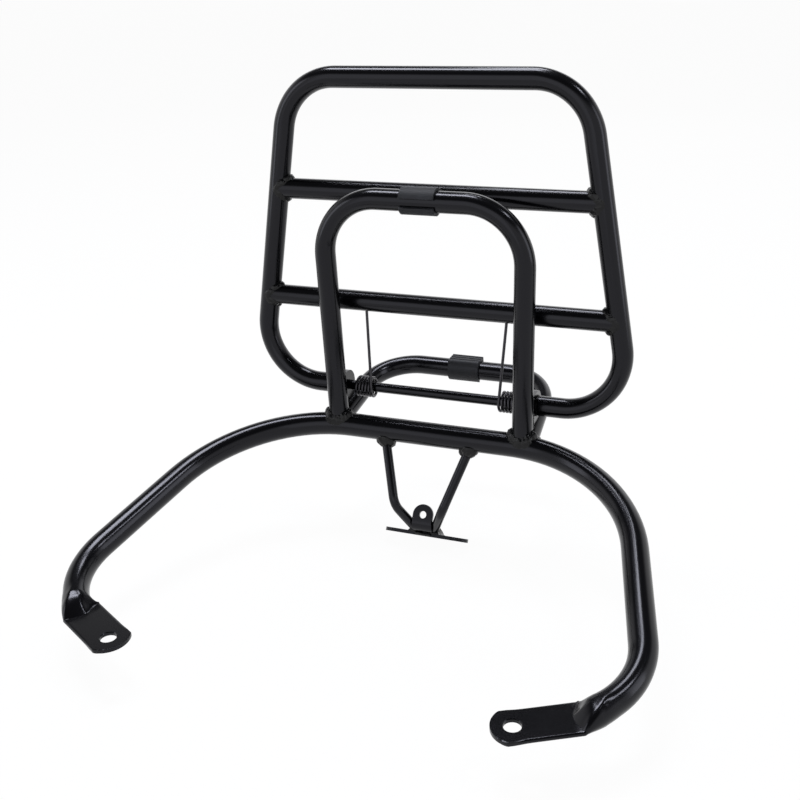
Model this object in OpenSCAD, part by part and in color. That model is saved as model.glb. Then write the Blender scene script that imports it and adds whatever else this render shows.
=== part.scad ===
/* [Carrier tube] */
// Distance between the two bolt holes in the pressed tabs
mount_span = 279.6; // [240:0.1:320]
// How far the cross part lies behind the bolt holes
carrier_back = 244.5; // [200:0.5:300]
// Height of the cross part's axis above the middle of the tabs
carrier_rise = 58; // [40:0.5:80]
// Half the distance between the corners of the cross part
carrier_corner_x = 159; // [145:0.5:185]
// Radius of the large bends
carrier_bend_r = 119; // [80:0.5:140]
// Half the distance between the front corners, where the arms turn inwards
arm_corner_x = 211.6; // [195:0.1:240]
// How far the front corners lie behind the bolt holes
arm_corner_y = 39; // [30:0.5:50]
// Height of the front corners above the middle of the tabs
arm_corner_z = 3.9; // [0:0.1:8]
// Radius of the front bends
arm_bend_r = 59; // [45:0.5:70]
// Outer diameter of the carrier tube
carrier_d = 19; // [16:0.5:24]
// Wall of every tube
tube_wall = 1.5; // [1:0.1:2.5]

/* [Pressed tabs] */
// Width of a tab
tab_w = 28; // [24:0.5:34]
// Radius of the tab's rounded end
tab_end_r = 16.6; // [14.5:0.1:22]
// From the hole's centre to the tip of the tab
tab_tip = 13.3; // [10:0.1:20]
// From the hole's centre back to the crease where the tube is pressed flat
tab_crease = 36; // [28:0.5:40]
// Length of the tube that changes from round to flat
press_len = 17; // [12:0.5:24]
// Diameter of the bolt hole
tab_hole_d = 11; // [8:0.5:13]

/* [Upright hoop] */
// Outer diameter of the hoop and rack tubes
hoop_d = 16; // [12:0.5:19]
// Half width of the hoop at its feet
hoop_foot_x = 77.4; // [70:0.1:90]
// Half width of the hoop at its top corners
hoop_top_x = 79.8; // [70:0.1:92]
// Height of the hoop's top bar above the carrier's axis
hoop_rise = 187.2; // [160:0.1:220]
// Radius of the hoop's top bends
hoop_bend_r = 44.7; // [35:0.1:60]

/* [Lower hoop] */
// Half width of the lower hoop at its feet
rest_foot_x = 80.4; // [72:0.1:90]
// Height of its legs where they meet the carrier, above the carrier's axis
rest_foot_z = 0; // [0:0.1:8]
// Half width of the lower hoop at its corners
rest_top_x = 75.3; // [68:0.1:86]
// How far its cross part lies behind the carrier's axis
rest_back = 95; // [80:0.5:120]
// Height of its cross part above the carrier's axis
rest_rise = 19.3; // [10:0.1:24]
// Radius of its bends
rest_bend_r = 38.8; // [30:0.1:50]

/* [Hinge] */
// Distance of the hinge axis behind the carrier's axis
hinge_back = 22; // [20:0.5:30]
// Height of the hinge axis above the carrier's axis
hinge_rise = 25.8; // [24:0.1:32]
// Diameter of the hinge rod
rod_d = 8; // [6:0.5:10]
// Thickness of a hinge lug
lug_t = 6; // [4:0.5:8]
// Radius of the lug round the rod
lug_r = 12; // [10:0.5:14]
// Distance of a lug's inner face from the middle
lug_in_x = 77.5; // [76:0.1:82]
// Thickness of the washer between lug and rack
washer_t = 1; // [0.6:0.1:1.6]
// Diameter of that washer
washer_d = 17; // [14:0.5:20]
// Running clearance between the rod and a lug's bore, on the radius
rod_clearance = 0.1; // [0.05:0.01:0.3]
// How deep the rod runs into each end of the rack tube
rod_depth = 16; // [10:0.5:24]
// Length of the bush that holds the rod in the rack tube
bush_len = 14; // [8:0.5:20]

/* [Folding rack] */
// Height of the rack from the hinge axis to the axis of its top bar
rack_h = 243.8; // [200:0.1:280]
// Half width of the rack at its lower corners
rack_low_x = 156.6; // [140:0.1:180]
// Half width of the rack at its top corners
rack_top_x = 114.6; // [100:0.1:140]
// Radius of the rack's bends
rack_bend_r = 45; // [36:0.5:55]
// Angle that the folded rack leans back
rack_lean = 2.1; // [1:0.1:4]
// Height of the lower crossbar above the hinge axis
bar_low_h = 73.1; // [70:0.1:80]
// Height of the upper crossbar above the hinge axis
bar_high_h = 160; // [150:0.1:170]

/* [Foot bracket] */
// Diameter of the two struts
strut_d = 7.5; // [6:0.5:10]
// Half distance between the struts at the carrier
strut_top_x = 37.8; // [30:0.1:45]
// Half distance between the struts at their bend
strut_mid_x = 20.2; // [17:0.1:27]
// How far the bend lies in front of the carrier's axis
strut_mid_y = 29.5; // [20:0.5:36]
// Depth of the bend below the carrier's axis
strut_mid_z = 51.8; // [45:0.1:60]
// Half distance between the struts at the strap
strut_low_x = 4.8; // [4.2:0.1:9]
// Radius of the strut's bend
strut_bend_r = 14; // [12:0.5:30]
// Tilt of the strap, its front edge up
strap_tilt = 32.7; // [20:0.1:45]
// Length of the strap
strap_len = 71; // [56:0.5:90]
// Width of the strap
strap_w = 20; // [16:0.5:26]
// Thickness of the strap and of the eye plate
strap_t = 3; // [2:0.1:4]
// Distance between the strap's two holes
strap_pitch = 52; // [40:0.5:66]
// Diameter of the strap's holes
strap_hole_d = 6.5; // [5:0.1:8]
// How far the strap's middle lies in front of the carrier's axis
strap_fore = 12.6; // [6:0.1:18]
// Depth of the strap's middle below the carrier's axis
strap_drop = 85.9; // [75:0.1:95]

/* [Eye plate] */
// Width of the eye plate
eye_w = 17; // [14:0.5:20]
// Diameter of its hole
eye_hole_d = 6; // [5:0.1:8]
// Height of the hole above the strap's top
eye_h = 13.6; // [12:0.1:20]
// Inside radius of its bend
eye_bend_r = 5; // [2:0.5:6]
// How far its front face stands before the strap's middle line
eye_front = 18.5; // [15:0.5:24]
// Length of its foot behind the bend
eye_foot_len = 7; // [4:0.5:12]

/* [Rubber buffers] */
// Length of a buffer along its tube
buffer_len = 27; // [20:0.5:36]
// Wall of the part that grips the tube
buffer_wall = 2.2; // [1.6:0.1:3]
// Distance of the pad's flat face from the tube's axis
buffer_face = 10.4; // [9.5:0.1:13]
// Width of the pad's flat face
buffer_face_w = 16.5; // [12:0.5:18]
// Opening of the grip, as an angle
buffer_mouth = 40; // [20:1:60]
// Sideways place of the lower buffer
buffer_low_x = 0.5; // [-10:0.5:10]
// Number of grooves in the pad's face
buffer_grooves = 3; // [0:1:4]

/* [Springs] */
// Diameter of the spring wire
wire_d = 2.3; // [1.6:0.1:2.5]
// Mean diameter of the coil
coil_d = 15.2; // [14:0.1:17]
// Distance between two turns
coil_pitch = 2.76; // [2.7:0.01:3.6]
// Turns of each coil, a quarter turn over a whole number
coil_turns = 5.25; // [4.25:1:6.25]
// Distance of the coil's outer end from the middle
coil_out_x = 68.6; // [64:0.1:72]
// Sideways place where the long arm enters the lower crossbar
spring_arm_x = 58.6; // [54:0.1:64]
// Length of the arm that bears on the lower hoop
foot_arm_len = 24; // [16:0.5:30]
// Sideways place where that arm bears
foot_arm_x = 73; // [70:0.1:74]

/* [Hidden] */
$fn = 48;

paint = [0.05, 0.05, 0.055];
rubber = [0.16, 0.16, 0.17];
steel = [0.45, 0.46, 0.48];
spring_steel = [0.2, 0.2, 0.21];

// Seam between two drawn lengths of one bent tube
seam = 0.02;
// Gap that the weld bridges between a coped end and the tube it meets
fit_gap = 0.2;
// Clearance between surfaces that only rest on each other
rest_gap = 0.3;
// Clearance on each side of a hinge washer
side_gap = 0.25;
// Clearance of parts pushed over or into one another, on the radius
push_gap = 0.1;
// Clearance between a weld and the parts that it joins
weld_gap = 0.12;
// Height of a weld over the surfaces that it joins
weld_leg = 3.2;

tab_t = 2 * tube_wall;
carrier_r = carrier_d / 2;
hoop_r = hoop_d / 2;
rod_r = rod_d / 2;
strut_r = strut_d / 2;
wire_r = wire_d / 2;
coil_r = coil_d / 2;

// The origin lies midway between the bolt holes, on the tabs' underside
cross_y = carrier_back;
cross_z = tab_t / 2 + carrier_rise;
hinge_y = cross_y + hinge_back;
hinge_z = cross_z + hinge_rise;
lug_out_x = lug_in_x + lug_t;
stub_x = lug_out_x + washer_t + 2 * side_gap;

function unit(v) = v / norm(v);
function turn_angle(a, b) = acos(unit(a) * unit(b));
function flip(p) = [-p[0], p[1], p[2]];
function reversed(v) = [for (i = [len(v) - 1 : -1 : 0]) v[i]];
function mirrored_path(half) = concat([for (p = reversed(half)) flip(p)], half);
function mirrored_list(half) = concat(reversed(half), half);
// Distance of the tangent points from corner i of a path
function tangent(p, r, i) = (i == 0 || i == len(p) - 1) ? 0
    : r[i] * tan(turn_angle(p[i] - p[i - 1], p[i + 1] - p[i]) / 2);
function toward(a, b, d) = a + unit(b - a) * d;

// Turns local +Z onto the line from a to b and puts the origin at a
module along(a, b) {
    v = b - a;
    translate(a) rotate([0, acos(v[2] / norm(v)), atan2(v[1], v[0])]) children();
}

module ring_profile(r, wall) {
    difference() {
        circle(r);
        if (wall > 0) circle(r - wall);
    }
}

// One bend about its own centre, from the leg a-b to the leg b-c
module bend(a, b, c, bend_r, r, wall) {
    d0 = unit(b - a);
    d1 = unit(c - b);
    angle = turn_angle(d0, d1);
    start = b - d0 * bend_r * tan(angle / 2);
    axis = unit(cross(d0, d1));
    inward = cross(axis, d0);
    centre = start + inward * bend_r;
    e1 = -inward;
    multmatrix([[e1[0], d0[0], axis[0], centre[0]],
                [e1[1], d0[1], axis[1], centre[1]],
                [e1[2], d0[2], axis[2], centre[2]],
                [0, 0, 0, 1]])
        rotate_extrude(angle = angle) translate([bend_r, 0]) ring_profile(r, wall);
}

// Tube or rod along points p, rounded at corner i with radius bends[i]
module bent_tube(p, bends, r, wall) {
    last = len(p) - 1;
    for (i = [0 : last - 1]) {
        from = toward(p[i], p[i + 1], tangent(p, bends, i) + seam);
        to = toward(p[i + 1], p[i], tangent(p, bends, i + 1) + seam);
        along(from, to) linear_extrude(norm(to - from)) ring_profile(r, wall);
    }
    for (i = [1 : last - 1]) bend(p[i - 1], p[i], p[i + 1], bends[i], r, wall);
}

module both_sides() {
    children();
    mirror([1, 0, 0]) children();
}

// Carrier tube
carrier_corner = [carrier_corner_x, cross_y, cross_z];
arm_corner = [arm_corner_x, arm_corner_y, tab_t / 2 + arm_corner_z];
tab_hole = [mount_span / 2, 0, tab_t / 2];
arm_turn = turn_angle(arm_corner - carrier_corner, tab_hole - arm_corner);
arm_start = toward(arm_corner, carrier_corner, arm_bend_r * tan(arm_turn / 2));
press_turn = press_len / arm_bend_r * 180 / PI;
bend_turn = arm_turn - press_turn;
tab_angle = atan2(tab_hole[1] - arm_corner[1], tab_hole[0] - arm_corner[0]);

// Point and heading of the front bend where its pressing starts
arm_d0 = unit(arm_corner - carrier_corner);
arm_axis = unit(cross(arm_d0, tab_hole - arm_corner));
arm_in = cross(arm_axis, arm_d0);
arm_centre = arm_start + arm_in * arm_bend_r;
press_heading = arm_d0 * cos(bend_turn) + arm_in * sin(bend_turn);
press_start = arm_centre - (arm_in * cos(bend_turn) - arm_d0 * sin(bend_turn)) * arm_bend_r;

module tab_outline() {
    intersection() {
        translate([-tab_crease, -tab_w / 2]) square([tab_crease + tab_tip, tab_w]);
        translate([tab_tip - tab_end_r, 0]) union() {
            circle(tab_end_r);
            translate([-tab_crease - tab_end_r, -tab_w / 2])
                square([tab_crease + tab_end_r, tab_w]);
        }
    }
}

module carrier_arm() {
    multmatrix([[-arm_in[0], arm_d0[0], arm_axis[0], arm_centre[0]],
                [-arm_in[1], arm_d0[1], arm_axis[1], arm_centre[1]],
                [-arm_in[2], arm_d0[2], arm_axis[2], arm_centre[2]],
                [0, 0, 0, 1]])
        rotate_extrude(angle = bend_turn) translate([arm_bend_r, 0])
            ring_profile(carrier_r, tube_wall);
    // Pressed part: round at the bend, flat at the crease
    hull() {
        along(press_start + press_heading * seam, press_start + press_heading)
            cylinder(h = seam, r = carrier_r, $fn = 32);
        translate(tab_hole) rotate(tab_angle) translate([-tab_crease - 2 * seam, 0, 0])
            cube([seam, tab_w, tab_t], center = true);
    }
    difference() {
        translate([tab_hole[0], tab_hole[1], 0]) rotate(tab_angle)
            linear_extrude(tab_t) tab_outline();
        translate([tab_hole[0], tab_hole[1], -1]) cylinder(h = tab_t + 2, d = tab_hole_d);
    }
}

module carrier_tube() {
    half = [carrier_corner, arm_start];
    color(paint) {
        bent_tube(mirrored_path(half), mirrored_list([carrier_bend_r, 0]), carrier_r, tube_wall);
        both_sides() carrier_arm();
    }
}

// Upright hoop
hoop_foot = [hoop_foot_x, cross_y, cross_z];
hoop_corner = [hoop_top_x, cross_y, cross_z + hoop_rise];

module hoop_path(r, wall) {
    bent_tube(mirrored_path([hoop_corner, hoop_foot]), mirrored_list([hoop_bend_r, 0]), r, wall);
}

// Solid of the carrier's cross part on the right, used to cope what meets it
module near_carrier(grow) {
    run = carrier_bend_r * tan(turn_angle([1, 0, 0], arm_corner - carrier_corner) / 2);
    straight = carrier_corner_x - run;
    translate([-1, cross_y, cross_z]) rotate([0, 90, 0])
        cylinder(h = straight + 1, r = carrier_r + grow);
    bend([0, cross_y, cross_z], carrier_corner, arm_corner, carrier_bend_r, carrier_r + grow, 0);
}

module hoop_leg_cut(grow) {
    both_sides() along(hoop_foot, hoop_corner)
        cylinder(h = hoop_rise / 2, r = hoop_r + grow);
}

module upright_hoop() {
    color(paint) difference() {
        hoop_path(hoop_r, tube_wall);
        both_sides() near_carrier(fit_gap);
    }
}

// Lower hoop, on which the folded-down rack rests
rest_foot = [rest_foot_x, cross_y, cross_z + rest_foot_z];
rest_corner = [rest_top_x, cross_y + rest_back, cross_z + rest_rise];

module rest_leg_cut(grow) {
    both_sides() along(rest_foot, rest_corner)
        cylinder(h = rest_back - rest_bend_r, r = hoop_r + grow);
}

module lower_hoop() {
    color(paint) difference() {
        bent_tube(mirrored_path([rest_corner, rest_foot]), mirrored_list([rest_bend_r, 0]),
            hoop_r, tube_wall);
        both_sides() near_carrier(fit_gap);
        hoop_leg_cut(fit_gap);
    }
}

// Hinge lugs, welded to the back of the upright hoop
module lug_block(grow) {
    translate([lug_in_x - grow, hinge_y, hinge_z]) rotate([0, 90, 0])
        cylinder(h = lug_t + 2 * grow, r = lug_r + grow);
    translate([lug_in_x - grow, cross_y, hinge_z - lug_r - grow])
        cube([lug_t + 2 * grow, hinge_back, 2 * lug_r + 2 * grow]);
}

module hinge_lug() {
    color(paint) difference() {
        lug_block(0);
        translate([lug_in_x - 1, hinge_y, hinge_z]) rotate([0, 90, 0])
            cylinder(h = lug_t + 2, r = rod_r + rod_clearance);
        hoop_leg_cut(fit_gap);
        rest_leg_cut(fit_gap);
    }
}

module hinge_lug_right() hinge_lug();
module hinge_lug_left() mirror([1, 0, 0]) hinge_lug();

// Struts from the carrier down to the strap
strap_mid = [0, cross_y - strap_fore, cross_z - strap_drop];
strap_up = [0, sin(strap_tilt), cos(strap_tilt)];
strut_top = [strut_top_x, cross_y, cross_z];
strut_mid = [strut_mid_x, cross_y - strut_mid_y, cross_z - strut_mid_z];
strut_foot = [strut_low_x, strap_mid[1], strap_mid[2]];
strut_end = strut_foot + unit(strut_foot - strut_mid) * 2 * strut_d;

// Puts children in the strap's frame: X along it, Y to its rear edge, Z out of its top
module on_strap() {
    translate(strap_mid) rotate([-strap_tilt, 0, 0]) children();
}

module strut_shape(grow) {
    bent_tube([strut_top, strut_mid, strut_end], [0, strut_bend_r, 0], strut_r + grow, 0);
}

module strut() {
    color(paint) difference() {
        strut_shape(0);
        near_carrier(fit_gap);
        on_strap() translate([-strap_len / 2, -strap_w, -strap_len])
            cube([strap_len, 2 * strap_w, strap_len + strap_t / 2 + fit_gap]);
    }
}

module strut_right() strut();
module strut_left() mirror([1, 0, 0]) strut();

module foot_strap() {
    color(paint) on_strap() translate([0, 0, -strap_t / 2]) linear_extrude(strap_t)
        difference() {
            union() {
                square([strap_len - strap_w, strap_w], center = true);
                for (s = [-1, 1]) translate([s * (strap_len - strap_w) / 2, 0]) circle(d = strap_w);
            }
            for (s = [-1, 1]) translate([s * strap_pitch / 2, 0]) circle(d = strap_hole_d);
        }
}

// Eye plate: a foot on the strap, a bend, and an upright with a rounded top and a hole
module eye_plate() {
    out_r = eye_bend_r + strap_t;
    base = strap_t / 2 + fit_gap;
    color(paint) difference() {
        on_strap() translate([-eye_w / 2, -eye_front, base]) {
            translate([0, 0, out_r]) cube([eye_w, strap_t, eye_h - out_r]);
            translate([0, out_r, out_r]) rotate([90, 0, 90]) rotate(180)
                linear_extrude(eye_w) intersection() {
                    ring_profile(out_r, strap_t);
                    square(out_r);
                }
            translate([0, out_r, 0]) cube([eye_w, eye_foot_len, strap_t]);
            translate([eye_w / 2, strap_t, eye_h]) rotate([90, 0, 0])
                cylinder(h = strap_t, d = eye_w);
        }
        on_strap() translate([0, -eye_front - 1, base + eye_h]) rotate([-90, 0, 0])
            cylinder(h = strap_t + 2, d = eye_hole_d);
        both_sides() strut_shape(fit_gap);
    }
}

// Rubber buffer on a tube along X: open grip below, grooved pad on top
module buffer() {
    out_r = hoop_r + buffer_wall;
    groove = 1.2;
    pitch = buffer_face_w / (buffer_grooves + 1);
    color(rubber) translate([-buffer_len / 2, 0, 0]) rotate([90, 0, 90])
        linear_extrude(buffer_len) difference() {
            union() {
                circle(out_r);
                translate([-buffer_face_w / 2, 0]) square([buffer_face_w, buffer_face]);
            }
            circle(hoop_r + push_gap);
            polygon([[0, 0], [-2 * out_r * tan(buffer_mouth / 2), -2 * out_r],
                [2 * out_r * tan(buffer_mouth / 2), -2 * out_r]]);
            for (i = [1 : buffer_grooves])
                translate([-buffer_face_w / 2 + i * pitch - groove / 2, buffer_face - 0.6])
                    square([groove, 1]);
        }
}

module hoop_buffer() {
    translate([0, hoop_corner[1], hoop_corner[2]]) rotate([-90, 0, 0]) buffer();
}

module rest_buffer() {
    translate([buffer_low_x, rest_corner[1], rest_corner[2]]) buffer();
}

// Welds of one side: hoop leg, lower hoop leg and hinge lug on the carrier tube
module foot_welds() {
    color(paint) difference() {
        union() {
            intersection() {
                union() {
                    along(hoop_foot, hoop_corner) cylinder(h = 30, r = hoop_r + weld_leg);
                    along(rest_foot, rest_corner) cylinder(h = 30, r = hoop_r + weld_leg);
                }
                near_carrier(weld_leg);
            }
            intersection() {
                along(hoop_foot, hoop_corner) cylinder(h = 50, r = hoop_r + weld_leg * 0.8);
                lug_block(weld_leg * 0.8);
            }
        }
        near_carrier(weld_gap);
        along(hoop_foot, hoop_corner) cylinder(h = 60, r = hoop_r + weld_gap);
        along(rest_foot, rest_corner) cylinder(h = 60, r = hoop_r + weld_gap);
        lug_block(weld_gap);
    }
}

module foot_welds_right() foot_welds();
module foot_welds_left() mirror([1, 0, 0]) foot_welds();

module strut_welds() {
    color(paint) both_sides() difference() {
        intersection() {
            along(strut_top, strut_mid) cylinder(h = 24, r = strut_r + weld_leg);
            translate([0, cross_y, cross_z]) rotate([0, 90, 0])
                cylinder(h = strut_top_x + 26, r = carrier_r + weld_leg * 1.1);
        }
        translate([-1, cross_y, cross_z]) rotate([0, 90, 0])
            cylinder(h = strut_top_x + 28, r = carrier_r + weld_gap);
        along(strut_top, strut_mid) cylinder(h = 26, r = strut_r + weld_gap);
    }
}

// Welds that hold the struts on the strap, and the one under the eye plate's bend
module strap_welds() {
    base = strap_t / 2 + weld_gap;
    out_r = eye_bend_r + strap_t;
    toe = 5.2;
    bead = 2.2;
    color(paint) {
        both_sides() difference() {
            on_strap() translate([eye_w / 2 + weld_gap, -strap_w / 2, base])
                rotate([-90, 0, 0]) rotate([0, 0, -90]) linear_extrude(strap_w - 2)
                    polygon([[0, 0], [0, toe + 2], [3, toe - 0.6], [5, 0]]);
            strut_shape(weld_gap);
        }
        on_strap() difference() {
            translate([1 - eye_w / 2, -strap_w / 2 - bead, 0.6 - strap_t / 2])
                cube([eye_w - 2, bead - weld_gap, strap_t + 1]);
            translate([-eye_w, out_r - eye_front, strap_t / 2 + fit_gap + out_r])
                rotate([0, 90, 0]) cylinder(h = 2 * eye_w, r = out_r + weld_gap);
            translate([-eye_w, out_r - eye_front, base])
                cube([2 * eye_w, eye_foot_len, out_r]);
        }
    }
}

// Folding rack, drawn upright in the hinge's frame and then leant back
module on_rack() {
    translate([0, hinge_y, hinge_z]) rotate([-rack_lean, 0, 0]) children();
}

rack_low = [rack_low_x, 0, 0];
rack_top = [rack_top_x, 0, rack_h];
function rack_side_x(h) = rack_low_x + (rack_top_x - rack_low_x) * h / rack_h;

module rack_sides_cut(grow) {
    both_sides() along(rack_low, rack_top) cylinder(h = rack_h, r = hoop_r + grow);
}

module rack_frame() {
    half = [rack_top, rack_low, [stub_x, 0, 0]];
    color(paint) on_rack() bent_tube(mirrored_path_open(half), [0, rack_bend_r, rack_bend_r,
        rack_bend_r, rack_bend_r, 0], hoop_r, tube_wall);
}

// Path that starts at the left end of half, runs over the middle and ends at the right
function mirrored_path_open(half) = concat([for (p = reversed(half)) flip(p)], half);

module crossbar(h) {
    x = rack_side_x(h);
    color(paint) on_rack() difference() {
        translate([-x, 0, h]) rotate([0, 90, 0]) linear_extrude(2 * x)
            ring_profile(hoop_r, tube_wall);
        rack_sides_cut(fit_gap);
        if (h == bar_low_h) both_sides() along(arm_from, arm_to)
            translate([0, 0, norm(arm_to - arm_from) - 2 * hoop_r])
                cylinder(h = 2 * hoop_r + 2, r = wire_r + 0.5);
    }
}

module crossbar_lower() crossbar(bar_low_h);
module crossbar_upper() crossbar(bar_high_h);

module crossbar_welds() {
    color(paint) on_rack() for (h = [bar_low_h, bar_high_h]) both_sides() difference() {
        x = rack_side_x(h);
        intersection() {
            translate([x - 2 * hoop_r, 0, h]) rotate([0, 90, 0]) linear_extrude(2 * hoop_r)
                ring_profile(hoop_r + weld_leg * 0.8, weld_leg * 0.8 - 1.5 * weld_gap);
            along(rack_low, rack_top) cylinder(h = rack_h, r = hoop_r + weld_leg);
        }
        along(rack_low, rack_top) cylinder(h = rack_h, r = hoop_r + weld_gap);
        bend(rack_low, rack_top, flip(rack_top), rack_bend_r, hoop_r + weld_gap, 0);
    }
}

module hinge_rod() {
    x = stub_x + rod_depth;
    color(steel) translate([-x, hinge_y, hinge_z]) rotate([0, 90, 0]) cylinder(h = 2 * x, r = rod_r);
}

module rod_bush() {
    color(steel) translate([stub_x + 1, hinge_y, hinge_z]) rotate([0, 90, 0]) linear_extrude(bush_len)
        difference() {
            circle(hoop_r - tube_wall - push_gap);
            circle(rod_r + push_gap);
        }
}

module rod_bush_right() rod_bush();
module rod_bush_left() mirror([1, 0, 0]) rod_bush();

module hinge_washers() {
    color(steel) both_sides() translate([lug_out_x + side_gap, hinge_y, hinge_z])
        rotate([0, 90, 0]) linear_extrude(washer_t) difference() {
            circle(d = washer_d);
            circle(rod_r + push_gap);
        }
}

// Spring wire: short arm on the lower hoop, coil round the rod, long arm into the crossbar
coil_in_x = coil_out_x - coil_pitch * coil_turns;
arm_from = [coil_in_x, -coil_r, 0];
arm_to = [spring_arm_x, 0, bar_low_h - 2];
coil_steps = 14;
coil_count = round(coil_turns * coil_steps);
wire_sides = 8;

// Tip of the short arm, resting on the lower hoop's leg
function rest_leg_at(y) = rest_foot + (rest_corner - rest_foot) * (y - rest_foot[1]) / rest_back;
function foot_arm_tip() = let (leg = rest_leg_at(hinge_y + foot_arm_len),
    reach = (hoop_r + wire_r + rest_gap) / cos(atan((rest_rise - rest_foot_z) / rest_back)))
    [foot_arm_x, foot_arm_len, leg[2] - hinge_z + sqrt(pow(reach, 2) - pow(leg[0] - foot_arm_x, 2))];

function coil_point(i) = [coil_out_x - coil_pitch * i / coil_steps,
    coil_r * cos(270 - 360 * i / coil_steps), coil_r * sin(270 - 360 * i / coil_steps)];
function lean(p) = [p[0], p[1] * cos(rack_lean) + p[2] * sin(rack_lean),
    p[2] * cos(rack_lean) - p[1] * sin(rack_lean)];
function wire_line() = concat([foot_arm_tip()],
    [for (i = [0 : coil_count]) coil_point(i)], [lean(arm_to)]);
function wire_dir(p, i) = unit(p[min(i + 1, len(p) - 1)] - p[max(i - 1, 0)]);
function wire_ring(p, i) = let (d = wire_dir(p, i), u = unit(cross(d, [1, 0.02, 0.01])),
    v = cross(d, u)) [for (k = [0 : wire_sides - 1]) p[i]
    + wire_r * (u * cos(360 * k / wire_sides) + v * sin(360 * k / wire_sides))];

module spring_wire() {
    p = wire_line();
    n = wire_sides;
    last = len(p) - 1;
    rings = [for (i = [0 : last]) for (q = wire_ring(p, i)) q];
    sides = [for (i = [0 : last - 1]) for (k = [0 : n - 1]) for (t = [0, 1])
        let (a = i * n + k, b = i * n + (k + 1) % n)
        t == 0 ? [a, b, b + n] : [a, b + n, a + n]];
    start = [[for (k = [n - 1 : -1 : 0]) k]];
    end = [[for (k = [0 : n - 1]) last * n + k]];
    color(spring_steel) translate([0, hinge_y, hinge_z])
        polyhedron(points = rings, faces = concat(start, sides, end));
}

module spring_right() spring_wire();
module spring_left() mirror([1, 0, 0]) spring_wire();

carrier_tube();
upright_hoop();
lower_hoop();
hinge_lug_left();
hinge_lug_right();
strut_left();
strut_right();
foot_strap();
eye_plate();
hoop_buffer();
rest_buffer();
foot_welds_left();
foot_welds_right();
strut_welds();
strap_welds();
rack_frame();
crossbar_lower();
crossbar_upper();
crossbar_welds();
hinge_rod();
rod_bush_left();
rod_bush_right();
hinge_washers();
spring_left();
spring_right();
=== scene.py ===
"""Folding motorcycle luggage rack in black gloss paint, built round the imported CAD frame."""
import random
from math import asin, cos, degrees, pi, radians, sin, sqrt, tan, tau
import bmesh
import bpy
from mathutils import Matrix, Vector, geometry, noise


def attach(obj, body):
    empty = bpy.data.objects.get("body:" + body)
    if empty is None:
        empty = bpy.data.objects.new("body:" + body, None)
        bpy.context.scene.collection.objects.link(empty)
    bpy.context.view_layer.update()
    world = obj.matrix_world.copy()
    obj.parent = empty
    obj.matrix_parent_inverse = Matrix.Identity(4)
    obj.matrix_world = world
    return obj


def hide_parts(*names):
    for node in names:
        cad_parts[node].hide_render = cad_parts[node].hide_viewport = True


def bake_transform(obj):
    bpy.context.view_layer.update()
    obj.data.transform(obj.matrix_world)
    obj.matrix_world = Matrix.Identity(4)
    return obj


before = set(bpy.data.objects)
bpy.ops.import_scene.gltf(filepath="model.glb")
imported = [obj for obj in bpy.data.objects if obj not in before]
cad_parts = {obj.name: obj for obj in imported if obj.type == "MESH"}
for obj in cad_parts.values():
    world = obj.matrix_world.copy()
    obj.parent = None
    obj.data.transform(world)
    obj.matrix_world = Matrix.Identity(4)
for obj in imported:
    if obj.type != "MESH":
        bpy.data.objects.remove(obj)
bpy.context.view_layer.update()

bl_info = {
    "name": "Luggage rack",
    "version": (1, 0, 0),
    "blender": (4, 5, 0),
    "location": "View3D > Sidebar > Rack",
    "description": "Builds the painted tubes, welds, springs and rubber buffers of a folding luggage rack",
    "category": "Object",
}

MM = 0.001


def linear(code):
    """A hex sRGB colour as linear RGB."""
    parts = [int(code[i:i + 2], 16) / 255 for i in (1, 3, 5)]
    return [c / 12.92 if c <= 0.04045 else ((c + 0.055) / 1.055) ** 2.4 for c in parts]


# Sizes and colours that a user would change

def length(name, about, mm):
    return bpy.props.FloatProperty(
        name=name, description=about, default=mm * MM, unit="LENGTH", subtype="DISTANCE", precision=4)


def tint(name, about, code):
    return bpy.props.FloatVectorProperty(
        name=name, description=about, default=linear(code), size=3, subtype="COLOR", min=0, max=1)


class RackSizes(bpy.types.PropertyGroup):
    carrier_d: length("Carrier tube", "Outer diameter of the horseshoe tube", 19)
    tube_d: length("Rack tube", "Outer diameter of the hoops, the rack and its crossbars", 16)
    strut_d: length("Strut rod", "Diameter of the two bent struts", 7.5)
    bead_d: length("Weld bead", "Thickness of a weld bead", 4.2)
    wire_d: length("Spring wire", "Diameter of the spring wire", 2.3)
    coil_d: length("Coil", "Mean diameter of the spring coils", 15.2)
    buffer_length: length("Buffer length", "Length of a rubber buffer along its tube", 27)


class RackColours(bpy.types.PropertyGroup):
    paint: tint("Paint", "Black gloss powder coat", "#0b0b0e")
    rubber: tint("Rubber", "Moulded black rubber of the buffers", "#27282c")
    rod: tint("Rod", "Blackened steel of the hinge rod", "#161618")
    wire: tint("Wire", "Oiled spring wire", "#333236")


def in_mm(key):
    """One of the user's sizes, in millimetres."""
    return getattr(bpy.context.scene.rack_sizes, key) / MM


# The frame's main points, in millimetres, as in the CAD model

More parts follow.
